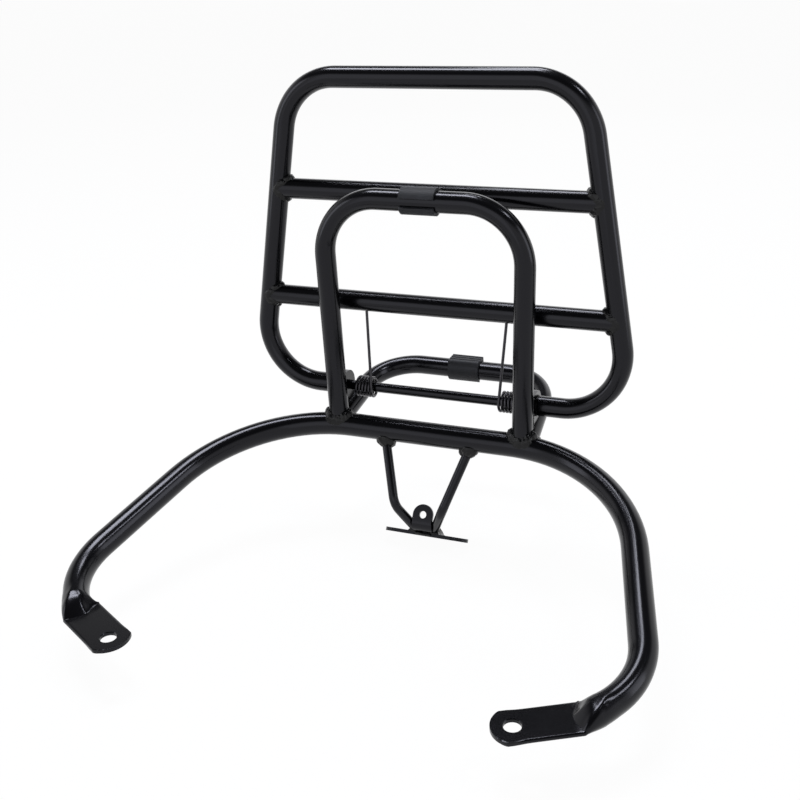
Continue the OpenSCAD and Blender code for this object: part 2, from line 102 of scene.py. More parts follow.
CROSS = Vector((0, 244.5, 59.5))
CARRIER_CORNER = Vector((159, 244.5, 59.5))
ARM_CORNER = Vector((211.6, 39, 5.4))
TAB_HOLE = Vector((139.8, 0, 1.5))
CARRIER_BEND, ARM_BEND = 119, 59
TAB_THICK, TAB_WIDE, TAB_TIP, TAB_CREASE = 3.0, 28.0, 13.3, 36.0
TAB_END_R, TAB_HOLE_R = 16.6, 5.5
HOOP_FOOT = Vector((77.4, 244.5, 59.5))
HOOP_CORNER = Vector((79.8, 244.5, 246.7))
HOOP_BEND = 44.7
REST_FOOT = Vector((80.4, 244.5, 59.5))
REST_CORNER = Vector((75.3, 339.5, 78.8))
REST_BEND = 38.8
HINGE = Vector((0, 266.5, 85.3))
LUG_X, LUG_THICK, LUG_R = 77.5, 6.0, 12.0
STUB_X, ROD_DEPTH, WASHER_THICK, WASHER_R = 85.0, 16.0, 1.0, 8.5
ROD_R = 4.0
LEAN = radians(2.1)
RACK_H, RACK_LOW_X, RACK_TOP_X, RACK_BEND = 243.8, 156.6, 114.6, 45.0
BAR_HEIGHTS = (73.1, 160.0)
STRUT_TOP = Vector((37.8, 244.5, 59.5))
STRUT_MID = Vector((20.2, 215.0, 7.7))
STRAP_MID = Vector((0, 231.9, -26.4))
STRAP_TILT = radians(32.7)
STRUT_FOOT_X, STRUT_BEND = 4.8, 14
STRAP_LEN, STRAP_W, STRAP_THICK, STRAP_PITCH, STRAP_HOLE_R = 71.0, 20.0, 3.0, 52.0, 3.25
EYE_W, EYE_HOLE_R, EYE_H, EYE_BEND, EYE_FRONT, EYE_FOOT = 17.0, 3.0, 13.6, 5.0, 18.5, 7.0
FIT_GAP = 0.2
BUFFER_WALL, BUFFER_FACE, BUFFER_FACE_W, BUFFER_MOUTH, BUFFER_LOW_X = 2.2, 10.4, 16.5, 40, 0.5
COIL_PITCH, COIL_TURNS, COIL_OUT_X, ARM_X = 2.76, 5.25, 68.6, 58.6
FOOT_ARM_TIP = Vector((73, 24, -8.17))
PRESS_LEN, SPREAD_LEN, SHOULDER_RISE, RIDGE, RIDGE_W = 17.0, 26.0, 10.5, 0.7, 3.5
FLOOR_Z = -33.6


def flip(p):
    return Vector((-p[0], p[1], p[2]))


def on_rack(p):
    """A point drawn in the upright rack's own frame, leant back about the hinge."""
    p = Vector(p)
    p.rotate(Matrix.Rotation(-LEAN, 3, "X"))
    return HINGE + p


def on_strap(x, y, z):
    """A point in the strap's frame: along it, to its rear edge, out of its top."""
    p = Vector((x, y, z))
    p.rotate(Matrix.Rotation(-STRAP_TILT, 3, "X"))
    return STRAP_MID + p


STRAP_UP, STRAP_REAR = on_strap(0, 0, 1) - STRAP_MID, on_strap(0, 1, 0) - STRAP_MID


def rack_side_x(height):
    return RACK_LOW_X + (RACK_TOP_X - RACK_LOW_X) * height / RACK_H


# Paths and sweeps

class Station:
    """A place along a tube: where it is, its heading, the inside of its bend and how bent it is."""

    def __init__(self, at, heading, inside=None, bent=0.0):
        self.at, self.heading, self.inside, self.bent = at, heading, inside, bent


def bent_path(corners, radii, pitch=8.0):
    """Stations along straight legs and round corners."""
    out = []
    last = len(corners) - 1
    start = corners[0]
    for i in range(1, last + 1):
        leg = (corners[i] - corners[i - 1]).normalized()
        if i == last or radii[i] <= 0:
            end, arc = corners[i], []
        else:
            after = (corners[i + 1] - corners[i]).normalized()
            turn = leg.angle(after)
            cut = radii[i] * tan(turn / 2)
            end = corners[i] - leg * cut
            axis = leg.cross(after).normalized()
            inward = axis.cross(leg)
            centre = end + inward * radii[i]
            steps = max(8, round(degrees(turn) / 3.5))
            arc = []
            for k in range(1, steps + 1):
                q = Matrix.Rotation(turn * k / steps, 3, axis)
                ease = min(1.0, 4 * k / steps, 4 * (steps - k) / steps)
                arc.append(Station(centre - q @ inward * radii[i], q @ leg, q @ inward, ease))
        count = max(1, round((end - start).length / pitch))
        out += [Station(start.lerp(end, k / count), leg) for k in range(1 if out else 0, count + 1)]
        out += arc
        start = out[-1].at
    return out


def mirrored_path(half):
    return [flip(p) for p in reversed(half)] + half


def ring_frame(station, ref):
    v = (ref - station.heading * ref.dot(station.heading)).normalized()
    return station.heading.cross(v), v


def round_ring(station, ref, radius, sides=48, flatten=0.045):
    """A tube's outline at a station; in a bend the tube is a little flat, as bent tube is."""
    u, v = ring_frame(station, ref)
    ring = ring_points(Vector(), u, v, radius, sides)
    if station.bent:
        inside, give = station.inside, flatten * station.bent
        ring = [d - inside * d.dot(inside) * give for d in ring]
        ring = [d + (d - inside * d.dot(inside)) * 0.4 * give for d in ring]
    return [station.at + d for d in ring]


def ring_points(centre, u, v, radius, count):
    """A circle of points about a centre, in the plane of u and v."""
    turns = [tau * k / count for k in range(count)]
    return [centre + (u * cos(a) + v * sin(a)) * radius for a in turns]


def loft(rings, closed=False):
    """Vertices and faces of rings of equal count joined in order, with end caps unless closed."""
    n, total = len(rings[0]), len(rings)
    faces = []
    for i in range(total if closed else total - 1):
        j = (i + 1) % total
        for k in range(n):
            m = (k + 1) % n
            faces.append((i * n + k, i * n + m, j * n + m, j * n + k))
    if not closed:
        faces += [tuple(reversed(range(n))), tuple(range((total - 1) * n, total * n))]
    return [p for ring in rings for p in ring], faces


def joined(parts):
    """Several (verts, faces) lists as one."""
    verts, faces = [], []
    for v, f in parts:
        base = len(verts)
        verts += v
        faces += [tuple(base + i for i in face) for face in f]
    return verts, faces


def mirrored(part):
    """The mirror image of (verts, faces) about the middle plane."""
    v, f = part
    return [flip(p) for p in v], [tuple(reversed(face)) for face in f]


def clean_mesh(name, parts):
    """A mesh from (verts, faces) lists in millimetres, doubles merged and normals outward."""
    verts, faces = joined(parts)
    mesh = bpy.data.meshes.new(name)
    mesh.from_pydata([tuple(p * MM for p in v) for v in verts], [], faces)
    work = bmesh.new()
    work.from_mesh(mesh)
    bmesh.ops.remove_doubles(work, verts=work.verts, dist=1e-7)
    bmesh.ops.recalc_face_normals(work, faces=work.faces)
    work.to_mesh(mesh)
    work.free()
    return mesh


def shade_smooth(mesh, sharp):
    """Smooth but for edges over the sharp angle in degrees."""
    mesh.polygons.foreach_set("use_smooth", [True] * len(mesh.polygons))
    mesh.set_sharp_from_angle(angle=radians(sharp))


def piece(name, parts, material, body, nodes, sharp=40):
    """A piece of the visual model, which rides on a body and stands for CAD nodes."""
    mesh = clean_mesh(name, parts)
    shade_smooth(mesh, sharp)
    mesh.materials.append(material)
    obj = bpy.data.objects.new(name, mesh)
    bpy.context.scene.collection.objects.link(obj)
    if body:
        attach(obj, body)
    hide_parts(*nodes)
    return obj


def painted(node, parts, body="carrier", sharp=40):
    """A powder-coated piece that stands for one CAD node."""
    return piece(node + "_painted", parts, gloss_powder_coat(), body, [node], sharp)


def welded(node, parts, body="carrier"):
    """A group of weld beads that stands for one CAD node."""
    return piece(node + "_beads", parts, weld_under_paint(), body, [node], 60)


def soft_edges(obj, width, segments=3, angle=35):
    """Rounded edges, as paint and pressing leave them."""
    bevel = obj.modifiers.new("Rounded edges", "BEVEL")
    bevel.width = width * MM
    bevel.segments = segments
    bevel.limit_method = "ANGLE"
    bevel.angle_limit = radians(angle)
    bevel.harden_normals = True


def solid_tube(corners, radii, radius, ref, pitch=8.0):
    return loft([round_ring(s, ref, radius) for s in bent_path(corners, radii, pitch)])


def open_tube(corners, radii, radius, wall, ref):
    """A tube with its bore and softly rounded rims."""
    stations = bent_path(corners, radii)
    lip = 0.35
    first, last = stations[0], stations[-1]
    outer = [round_ring(s, ref, radius) for s in stations]
    inner = [round_ring(s, ref, radius - wall) for s in stations]
    for rings in (outer, inner):
        rings[0] = [p + first.heading * lip for p in rings[0]]
        rings[-1] = [p - last.heading * lip for p in rings[-1]]
    rims = [[round_ring(s, ref, radius - inset) for inset in (lip, wall - lip)] for s in (last, first)]
    return loft(outer + rims[0] + inner[::-1] + rims[1][::-1], closed=True)


def plate(outline, holes, thick, place):
    """A flat plate with holes; place turns (x, y, z) into a point."""
    loops = [list(outline)] + [list(h) for h in holes]
    flat = [[Vector((x, y, 0)) for x, y in loop] for loop in loops]
    tris = geometry.tessellate_polygon(flat)
    every = [p for loop in flat for p in loop]
    n = len(every)
    verts = [place(p.x, p.y, 0) for p in every] + [place(p.x, p.y, thick) for p in every]
    faces = [tuple(t) for t in tris] + [tuple(i + n for i in reversed(t)) for t in tris]
    base = 0
    for loop in flat:
        m = len(loop)
        for k in range(m):
            a, b = base + k, base + (k + 1) % m
            faces.append((a, b, b + n, a + n))
        base += m
    return verts, faces


def arc(r, start, end, count, cx=0.0, cy=0.0):
    """Points of an arc in the plane, from one angle to another in degrees."""
    turns = [radians(start + (end - start) * k / count) for k in range(count + 1)]
    return [(cx + r * cos(a), cy + r * sin(a)) for a in turns]


def circle(r, sides=48, cx=0.0):
    return arc(r, 0, 360, sides, cx)[:-1]


# Weld beads

def nearest(point, runs):
    """How far a point is outside the nearest of several tubes, its axis point and radius."""
    best = None
    for line, radius in runs:
        for a, b in zip(line, line[1:]):
            d = b - a
            t = max(0.0, min(1.0, (point - a).dot(d) / d.length_squared))
            foot = a + d * t
            gap = (point - foot).length - radius
            if best is None or gap < best[0]:
                best = (gap, foot, radius)
    return best


def nearest_surface(point, runs):
    """The nearest tube's surface point and its outward normal."""
    _, foot, radius = nearest(point, runs)
    normal = (point - foot).normalized()
    return foot + normal * radius, normal


def saddle(start, heading, radius, runs, reach=60, steps=72):
    """The closed line where a branch of that radius meets the tubes it is welded to."""
    heading = heading.normalized()
    u = heading.orthogonal().normalized()
    out = []
    for p in ring_points(start, u, heading.cross(u), radius, steps):
        free = hit = 0.0
        while hit < reach and nearest(p + heading * hit, runs)[0] > 0:
            free, hit = hit, hit + 1.0
        for _ in range(14):
            mid = (free + hit) / 2
            if nearest(p + heading * mid, runs)[0] > 0:
                free = mid
            else:
                hit = mid
        out.append(p + heading * free)
    return out


def resampled(line, pitch, closed):
    """The line's points again, a fixed distance apart."""
    pts = line + [line[0]] if closed else list(line)
    total = sum((b - a).length for a, b in zip(pts, pts[1:]))
    count = max(8, round(total / pitch))
    out, want, run = [], 0.0, 0.0
    for a, b in zip(pts, pts[1:]):
        seg = (b - a).length
        while want <= run + seg + 1e-9 and len(out) < count + (0 if closed else 1):
            out.append(a.lerp(b, (want - run) / seg if seg else 0))
            want += total / count
        run += seg
    return out, total


def puddles(seed, count, least, most):
    """Uneven puddle sizes and a place in the noise for one weld."""
    rng = random.Random(seed)
    swell = [rng.uniform(least, most) for _ in range(count)]
    return swell, Vector([rng.uniform(0, 50) for _ in range(3)])


def bead(line, ref, thick, seed, closed=True, ripple=2.3, sides=14):
    """A weld bead along a line: overlapping puddles of uneven size, with fine spatter bumps."""
    pts, total = resampled(line, 0.55, closed)
    n = len(pts)
    waves = max(2, round(total / ripple))
    swell, shift = puddles(seed, waves + 1, 0.82, 1.2)
    rings = []
    for i, p in enumerate(pts):
        before = pts[i - 1 if closed or i else 0]
        after = pts[(i + 1) % n if closed or i + 1 < n else i]
        heading = (after - before).normalized()
        u, v = ring_frame(Station(p, heading), ref)
        k, part = divmod(i / n * waves, 1)
        k = int(k)
        size = swell[k % waves] * (1 - part) + swell[(k + 1) % waves] * part
        r = thick / 2 * size * (0.88 + 0.2 * sqrt(max(0.0, 1 - (2 * part - 1) ** 2)))
        if not closed:
            r *= min(1.0, 0.35 + 0.22 * min(i, n - 1 - i))
        wander = noise.noise_vector(p * 0.35 + shift) * 0.35
        rings.append([p + wander + d * r * (1 + 0.13 * noise.noise((p + d * 3) * 0.9 + shift))
                      for d in ring_points(Vector(), u, v, 1, sides)])
    return loft(rings, closed=closed)


def fillet(line, away, start, runs, leg, seed, ripple=2.6):
    """A closed weld between a branch and the tubes it meets: uneven puddles that climb both surfaces."""
    pts, total = resampled(line, 0.5, True)
    away = away.normalized()
    n = len(pts)
    waves = max(3, round(total / ripple))
    swell, shift = puddles(seed, waves, 0.72, 1.18)
    rings = []
    for i, p in enumerate(pts):
        out = (p - start) - away * (p - start).dot(away)
        out.normalize()
        normal = nearest_surface(p, runs)[1]
        k, phase = divmod(i / n * waves, 1)
        k = int(k)
        part = phase * phase * (3 - 2 * phase)
        size = leg * (swell[k % waves] * (1 - part) + swell[(k + 1) % waves] * part)
        size *= 0.9 + 0.16 * sqrt(max(0.0, 1 - (2 * phase - 1) ** 2))
        climb = p + away * size * (1.15 + 0.45 * noise.noise(p * 0.22 + shift))
        along = out - normal * out.dot(normal)
        along = along.normalized() if along.length > 0.05 else out
        low, down = nearest_surface(p + along * size, runs)
        belly = (away + along).normalized()
        ring = [p - (out + normal) * 0.6, climb - out * 0.5, climb + out * 0.05]
        for t in (0.12, 0.25, 0.38, 0.5, 0.62, 0.75, 0.88):
            q = climb.lerp(low, t) + (out + normal).normalized() * size * 0.2 * sin(pi * t)
            q += belly * (0.16 * size * noise.noise(q * 0.8 + shift) + 0.1 * noise.noise(q * 2.4 + shift))
            ring.append(q)
        rings.append(ring + [low + down * 0.05, low - down * 0.5])
    return loft(rings, closed=True)


# Materials

def link(node, links):
    """Links a node's inputs to other nodes' outputs."""
    for key, (source, output) in links.items():
        node.id_data.links.new(source.outputs[output], node.inputs[key])


def add(tree, kind, settings=None, links=None):
    """Adds a shader node, sets its ramp stops, properties and inputs, and links its inputs."""
    node = tree.nodes.new("ShaderNode" + kind)
    for key, value in (settings or {}).items():
        if key == "stops":
            for element, (at, colour) in zip(node.color_ramp.elements, value):
                element.position, element.color = at, (*colour, 1)
        elif isinstance(key, int) or key in node.inputs:
            node.inputs[key].default_value = value
        else:
            setattr(node, key, value)
    link(node, links or {})
    return node


def shades(key, *stops):
    """Ramp stops that hold one of the user's colours, made darker or paler by a factor at each."""
    colour = getattr(bpy.context.scene.rack_colours, key)
    return [(at, [c * factor for c in colour]) for at, factor in stops]


def per_mm(size):
    """Noise scale that gives features of that size in millimetres."""
    return 1000.0 / size


def start_material(name, settings):
    """The material of that name, with its tree, shader and place on the object if it is new."""
    mat = bpy.data.materials.get(name)
    if mat:
        return mat, None, None, None
    mat = bpy.data.materials.new(name)
    mat.use_nodes = True
    tree = mat.node_tree
    shader = tree.nodes["Principled BSDF"]
    for key, value in settings.items():
        shader.inputs[key].default_value = value
    return mat, tree, shader, {"Vector": (add(tree, "TexCoord"), "Object")}


def gloss_powder_coat(name="Gloss black powder coat"):
    """Powder coat baked on steel tube: deep black, wet gloss, a faint orange peel in its reflections."""
    mat, tree, shader, where = start_material(name, {
        "Roughness": 0.2, "IOR": 1.5, "Specular IOR Level": 0.24, "Specular Tint": (0.88, 0.88, 1.0, 1),
        "Coat Weight": 0.1, "Coat Roughness": 0.12, "Coat IOR": 1.45})
    if tree is None:
        return mat
    # Orange peel: swells of about 3.5 mm, so shallow that a highlight's edge hardly bends
    peel = add(tree, "TexNoise", {"Scale": per_mm(3.5), "Detail": 1.0, "Roughness": 0.4}, where)
    # Drift of film thickness over about 60 mm
    drift = add(tree, "TexNoise", {"Scale": per_mm(60), "Detail": 1.0}, where)
    colour = add(tree, "ValToRGB", {"stops": shades("paint", (0.35, 0.5), (0.65, 0.75))}, {"Fac": (drift, "Fac")})
    # Dust pips in the coat, about 0.5 mm, rare
    pips = add(tree, "TexVoronoi", {"Scale": per_mm(7.0)}, where)
    pip = add(tree, "MapRange", {"From Min": 0.0, "From Max": 0.06, "To Min": 1.0, "To Max": 0.0},
              {"Value": (pips, "Distance")})
    height = add(tree, "Math", {"operation": "MULTIPLY_ADD", 1: 0.25}, {0: (pip, "Result"), 2: (peel, "Fac")})
    bump = add(tree, "Bump", {"Strength": 0.006, "Distance": 0.0001}, {"Height": (height, "Value")})
    link(shader, {"Base Color": (colour, "Color"), "Normal": (bump, "Normal"), "Coat Normal": (bump, "Normal")})
    return mat


def weld_under_paint():
    """Coated weld: the same black over a rippled, spattered bead, so it glitters in small points."""
    mat, tree, shader, where = start_material("Black coated weld", {
        "Roughness": 0.14, "IOR": 1.5, "Specular IOR Level": 0.18, "Coat Weight": 0.15, "Coat Roughness": 0.05})
    if tree is None:
        return mat
    grain = add(tree, "TexNoise", {"Scale": per_mm(1.3), "Detail": 3.0, "Roughness": 0.6}, where)
    spots = add(tree, "TexVoronoi", {"Scale": per_mm(1.8)}, where)
    colour = add(tree, "ValToRGB", {"stops": shades("paint", (0.3, 0.5), (0.7, 1.2))}, {"Fac": (grain, "Fac")})
    height = add(tree, "Math", {"operation": "MULTIPLY_ADD", 1: -0.6}, {0: (spots, "Distance"), 2: (grain, "Fac")})
    bump = add(tree, "Bump", {"Strength": 0.5, "Distance": 0.0004}, {"Height": (height, "Value")})
    link(shader, {"Base Color": (colour, "Color"), "Normal": (bump, "Normal"), "Coat Normal": (bump, "Normal")})
    return mat


def moulded_rubber():
    """Compression-moulded rubber: charcoal, dull, with a fine tooth and slightly paler bloom."""
    mat, tree, shader, where = start_material("Moulded black rubber", {
        "Roughness": 0.6, "IOR": 1.45, "Specular IOR Level": 0.35})
    if tree is None:
        return mat
    tooth = add(tree, "TexNoise", {"Scale": per_mm(0.7), "Detail": 4.0, "Roughness": 0.65}, where)
    bloom = add(tree, "TexNoise", {"Scale": per_mm(9), "Detail": 3.0}, where)
    colour = add(tree, "ValToRGB", {"stops": shades("rubber", (0.3, 0.75), (0.7, 1.35))}, {"Fac": (bloom, "Fac")})
    rough = add(tree, "MapRange", {"To Min": 0.45, "To Max": 0.68}, {"Value": (bloom, "Fac")})
    bump = add(tree, "Bump", {"Strength": 0.35, "Distance": 0.0003}, {"Height": (tooth, "Fac")})
    link(shader, {"Base Color": (colour, "Color"), "Roughness": (rough, "Result"), "Normal": (bump, "Normal")})
    return mat


def drawn_steel(name, key, rough, streak):
    """Drawn and blackened steel: dark, half bright, with fine streaks along the draw."""
    mat, tree, shader, where = start_material(name, {
        "Metallic": 0.85, "Roughness": rough, "Coat Weight": 0.2, "Coat Roughness": 0.15})
    if tree is None:
        return mat
    grain = add(tree, "TexNoise", {"Scale": per_mm(streak), "Detail": 4.0, "Roughness": 0.6}, where)
    shade = add(tree, "ValToRGB", {"stops": shades(key, (0.3, 0.7), (0.7, 1.6))}, {"Fac": (grain, "Fac")})
    spread = add(tree, "MapRange", {"To Min": rough - 0.08, "To Max": rough + 0.12}, {"Value": (grain, "Fac")})
    bump = add(tree, "Bump", {"Strength": 0.15, "Distance": 0.0002}, {"Height": (grain, "Fac")})
    link(shader, {"Base Color": (shade, "Color"), "Roughness": (spread, "Result"), "Normal": (bump, "Normal")})
    return mat


X, Y, Z = Vector((1, 0, 0)), Vector((0, 1, 0)), Vector((0, 0, 1))


# Carrier tube

def section(half_w, half_t, corner, count):
    """Points of a rounded rectangle, evenly spaced round it from the middle of its first side."""
    c = min(corner, half_w, half_t)
    a, b = half_w - c, half_t - c
    quarter = pi / 2 * c
    # Each side's length, start and way, and the centre of the corner after it
    sides = [(b, a + c, 0, 0, 1, a, b), (2 * a, a, b + c, -1, 0, -a, b), (2 * b, -a - c, b, 0, -1, -a, -b),
             (2 * a, -a, -b - c, 1, 0, a, -b), (b, a + c, -b, 0, 1, 0, 0)]
    total = 4 * (a + b + quarter)
    out = []
    for k in range(count):
        run = total * (k + 0.5) / count
        i = 0
        while i < 4 and run > sides[i][0] + quarter:
            run -= sides[i][0] + quarter
            i += 1
        reach, x, y, dx, dy, cx, cy = sides[i]
        if run <= reach or i == 4:
            out.append((x + dx * run, y + dy * run))
        else:
            turn = pi / 2 * i + (run - reach) / max(c, 1e-6)
            out.append((cx + c * cos(turn), cy + c * sin(turn)))
    return out


def crease_shift(w):
    """How far the crease runs back from its middle at w millimetres towards the outside of the bend."""
    return (0.02 if w > 0 else 0.035) * w * w


def tube_ring(station, before, radius, sides):
    """The carrier's outline at a station that lies before the crease: round, then pressed."""
    u, v = ring_frame(station, Z)
    x = before / PRESS_LEN
    # The outer edge runs straight to the tab's corner
    spread = (TAB_WIDE / 2 - radius) * max(0.0, 1 - before / SPREAD_LEN)
    wide = tall = 2 * radius
    lift = fade = 0.0
    if x < 1:
        rise = max(0.0, before - 0.35) / PRESS_LEN
        top = TAB_THICK + SHOULDER_RISE * sin(pi / 2 * rise) + 0.12 * min(1.0, before)
        low = -(radius - station.at.z) * x * x * (3 - 2 * x)
        tall = min(top - low, 2 * radius)
        wide = (tau * radius - pi * tall) / 2 + tall
        lift, fade = (top + low) / 2 - station.at.z, 1 - x
    shape = section(wide / 2, tall / 2, tall / 2, sides)
    squash = 0.05 * station.bent * min(1.0, x)
    out = []
    for a, b in shape:
        if 0 < x < 1.5 and b > 0:
            # A ridge runs up the outer shoulder; towards the inside the press goes deeper
            edge = TAB_WIDE / 2 * (1 - x / 1.5)
            swell = sin(pi * min(1.0, x / 1.5))
            if a < 0:
                ridge = max(0.0, 1 - abs(-a - edge * 0.9) / RIDGE_W)
                b += RIDGE * ridge * ridge * (3 - 2 * ridge) * swell
            over = station.at.z + lift + b - TAB_THICK
            if a > 0 and x < 1 and over > 0:
                inner = min(1.0, a / 8.5)
                b -= over * (1 - sin(pi / 2 * x) ** (1.5 * inner * inner * (3 - 2 * inner)))
        if a < 0:
            a *= max(1.0, (radius + spread) / (wide / 2))
        d = u * a + v * b
        if station.bent:
            d = d - station.inside * d.dot(station.inside) * squash
        out.append(station.at + d + v * lift - station.heading * crease_shift(-a) * fade)
    return out


def tab_half_width(s):
    """Half the tab's width at s millimetres beyond the hole."""
    centre = TAB_TIP - TAB_END_R
    return max(0.4, min(TAB_WIDE / 2, sqrt(max(0.0, TAB_END_R ** 2 - max(0.0, s - centre) ** 2))))


def station_at(stations, place, want):
    """The station at a distance along the path, between two given ones."""
    for i in range(1, len(place)):
        if place[i] >= want:
            a, b = stations[i - 1], stations[i]
            t = (want - place[i - 1]) / (place[i] - place[i - 1])
            inside = None
            if a.inside or b.inside:
                inside = ((a.inside or b.inside).lerp(b.inside or a.inside, t)).normalized()
            return Station(a.at.lerp(b.at, t), a.heading.lerp(b.heading, t).normalized(), inside,
                           a.bent + (b.bent - a.bent) * t)


def carrier_rings(sides):
    """Rings of the right half: round tube, pressed stretch and flat tab."""
    radius = in_mm("carrier_d") / 2
    stations = bent_path([CROSS, CARRIER_CORNER, ARM_CORNER, TAB_HOLE], [0, CARRIER_BEND, ARM_BEND, 0], 7.0)
    place = [0.0]
    for a, b in zip(stations, stations[1:]):
        place.append(place[-1] + (b.at - a.at).length)
    crease = place[-1] - TAB_CREASE
    rings = [tube_ring(st, crease - at, radius, sides) for st, at in zip(stations, place) if crease - at > 27]
    for before in (25, 22.5, 20, 18.4, 17.01, 15.5, 14, 12.5, 11, 9.5, 8, 6.6, 5.3, 4.1, 3, 2.1, 1.4, 0.9,
                   0.55, 0.3, 0.0):
        rings.append(tube_ring(station_at(stations, place, crease - before), before, radius, sides))
    level = Vector((TAB_HOLE.x - ARM_CORNER.x, TAB_HOLE.y - ARM_CORNER.y, 0)).normalized()
    side = level.cross(Z)
    tip = [TAB_TIP - TAB_END_R * (1 - cos(pi / 2 * (1 - k / 20))) for k in range(21)]
    flat = [-TAB_CREASE + 0.4 + 3.9 * k for k in range(9)]
    for s in [s for s in flat if s < tip[0] - 1] + tip:
        corner = 1.5 if s < -6 else max(0.45, 1.5 - (s + 6) * 0.15)
        fade = max(0.0, 1 - (s + TAB_CREASE) / 18.0)
        at = TAB_HOLE + level * s
        shape = section(tab_half_width(s), TAB_THICK / 2, corner, sides)
        rings.append([Vector((at.x, at.y, TAB_THICK / 2)) + side * a + Z * b - level * crease_shift(-a) * fade
                      for a, b in shape])
    return rings


def hole_cutter(centre, axis, radius, thick, flare=0.5):
    """A spool that cuts a hole with slightly rounded rims."""
    u = axis.orthogonal().normalized()
    v = axis.cross(u)
    half, wide = thick / 2, radius + flare + 2
    spool = ((-half - 2, wide), (-half + flare, radius), (half - flare, radius), (half + 2, wide))
    return loft([ring_points(centre + axis * z, u, v, r, 96) for z, r in spool])


def cut(obj, parts):
    """Cuts (verts, faces) lists out of a piece."""
    mesh = clean_mesh("cutter", parts)
    tool = bpy.data.objects.new("cutter", mesh)
    bpy.context.scene.collection.objects.link(tool)
    boolean = obj.modifiers.new("Holes", "BOOLEAN")
    boolean.object = tool
    boolean.operation = "DIFFERENCE"
    boolean.solver = "EXACT"
    view = bpy.context.evaluated_depsgraph_get()
    done = bpy.data.meshes.new_from_object(obj.evaluated_get(view))
    obj.modifiers.clear()
    old, obj.data = obj.data, done
    bpy.data.meshes.remove(old)
    bpy.data.objects.remove(tool)
    bpy.data.meshes.remove(mesh)
    shade_smooth(done, 30)


class CarrierTube(bpy.types.Operator):
    """Bends the horseshoe tube, presses its ends flat and punches the bolt holes"""
    bl_idname = "rack.carrier_tube"
    bl_label = "Carrier tube"

    def execute(self, context):
        half = carrier_rings(96)
        left = [[flip(p) for p in ring] for ring in half]
        body = painted("carrier_tube", [loft(left[:0:-1] + half)], sharp=28)
        cut(body, [hole_cutter(Vector((s * TAB_HOLE.x, 0, TAB_THICK / 2)), Z, TAB_HOLE_R, TAB_THICK)
                   for s in (1, -1)])
        return {"FINISHED"}


# Hoops

class Hoops(bpy.types.Operator):
    """Bends the upright hoop and the lower hoop that the opened rack rests on"""
    bl_idname = "rack.hoops"
    bl_label = "Hoops"

    def execute(self, context):
        r = in_mm("tube_d") / 2
        up = mirrored_path([HOOP_CORNER, HOOP_FOOT])
        painted("upright_hoop", [solid_tube(up, [0, HOOP_BEND, HOOP_BEND, 0], r, Y)])
        low = mirrored_path([REST_CORNER, REST_FOOT])
        painted("lower_hoop", [solid_tube(low, [0, REST_BEND, REST_BEND, 0], r, Z)])
        return {"FINISHED"}


# Hinge

def lug_outline():
    """Lug seen along the rod: square end in the hoop's leg, round end about the rod."""
    leg = HOOP_FOOT.y - HINGE.y + 4
    return [(leg, -LUG_R)] + arc(LUG_R, -90, 90, 24) + [(leg, LUG_R)]


def along_rod(side, start):
    """Turns (y, z, x), about the rod and outwards from a start on one side, into a point."""
    return lambda y, z, x: Vector((side * (start + x), HINGE.y + y, HINGE.z + z))


class Hinge(bpy.types.Operator):
    """Cuts the hinge lugs, turns the rod, its bushes and washers"""
    bl_idname = "rack.hinge"
    bl_label = "Hinge"

    def execute(self, context):
        steel = drawn_steel("Blackened rod steel", "rod", 0.32, 1.1)
        bore = circle(ROD_R + 0.1, 48)
        for side, label in ((1, "right"), (-1, "left")):
            lug = painted("hinge_lug_" + label, [plate(lug_outline(), [circle(ROD_R + 0.1, 40)], LUG_THICK,
                                                       along_rod(side, LUG_X))], sharp=30)
            soft_edges(lug, 0.7)
            bush = piece("rod_bush_%s_steel" % label,
                         [plate(circle(6.4, 48), [bore], 14, along_rod(side, STUB_X + 1))],
                         steel, "rack", ["rod_bush_" + label], 30)
            soft_edges(bush, 0.3, 2)
        reach = STUB_X + ROD_DEPTH
        ends = [(-reach, 3.4), (-reach + 0.6, ROD_R), (reach - 0.6, ROD_R), (reach, 3.4)]
        piece("hinge_rod_steel", [loft([ring_points(HINGE + X * x, Y, Z, r, 48) for x, r in ends])],
              gloss_powder_coat("Thin black coat on rod"), "rack", ["hinge_rod"], 30)
        washers = [plate(circle(WASHER_R, 56), [bore], WASHER_THICK,
                         along_rod(side, LUG_X + LUG_THICK + 0.25)) for side in (1, -1)]
        rings = piece("hinge_washers_steel", washers, steel, "rack", ["hinge_washers"], 30)
        soft_edges(rings, 0.2, 2)
        return {"FINISHED"}


# Folding rack

class FoldingRack(bpy.types.Operator):
    """Bends the rack's frame and fits its two crossbars"""
    bl_idname = "rack.folding_rack"
    bl_label = "Folding rack"

    def execute(self, context):
        r = in_mm("tube_d") / 2
        half = [Vector((RACK_TOP_X, 0, RACK_H)), Vector((RACK_LOW_X, 0, 0)), Vector((STUB_X, 0, 0))]
        corners = [on_rack(p) for p in mirrored_path(half)]
        across = Vector((0, cos(LEAN), -sin(LEAN)))
        painted("rack_frame", [open_tube(corners, [0] + [RACK_BEND] * 4 + [0], r, 1.5, across)], "rack")
        for height, label in zip(BAR_HEIGHTS, ("lower", "upper")):
            x = rack_side_x(height) - 3
            ends = [on_rack((-x, 0, height)), on_rack((x, 0, height))]
            painted("crossbar_" + label, [solid_tube(ends, [0, 0], r, across, 12)], "rack")
        return {"FINISHED"}


# Foot bracket

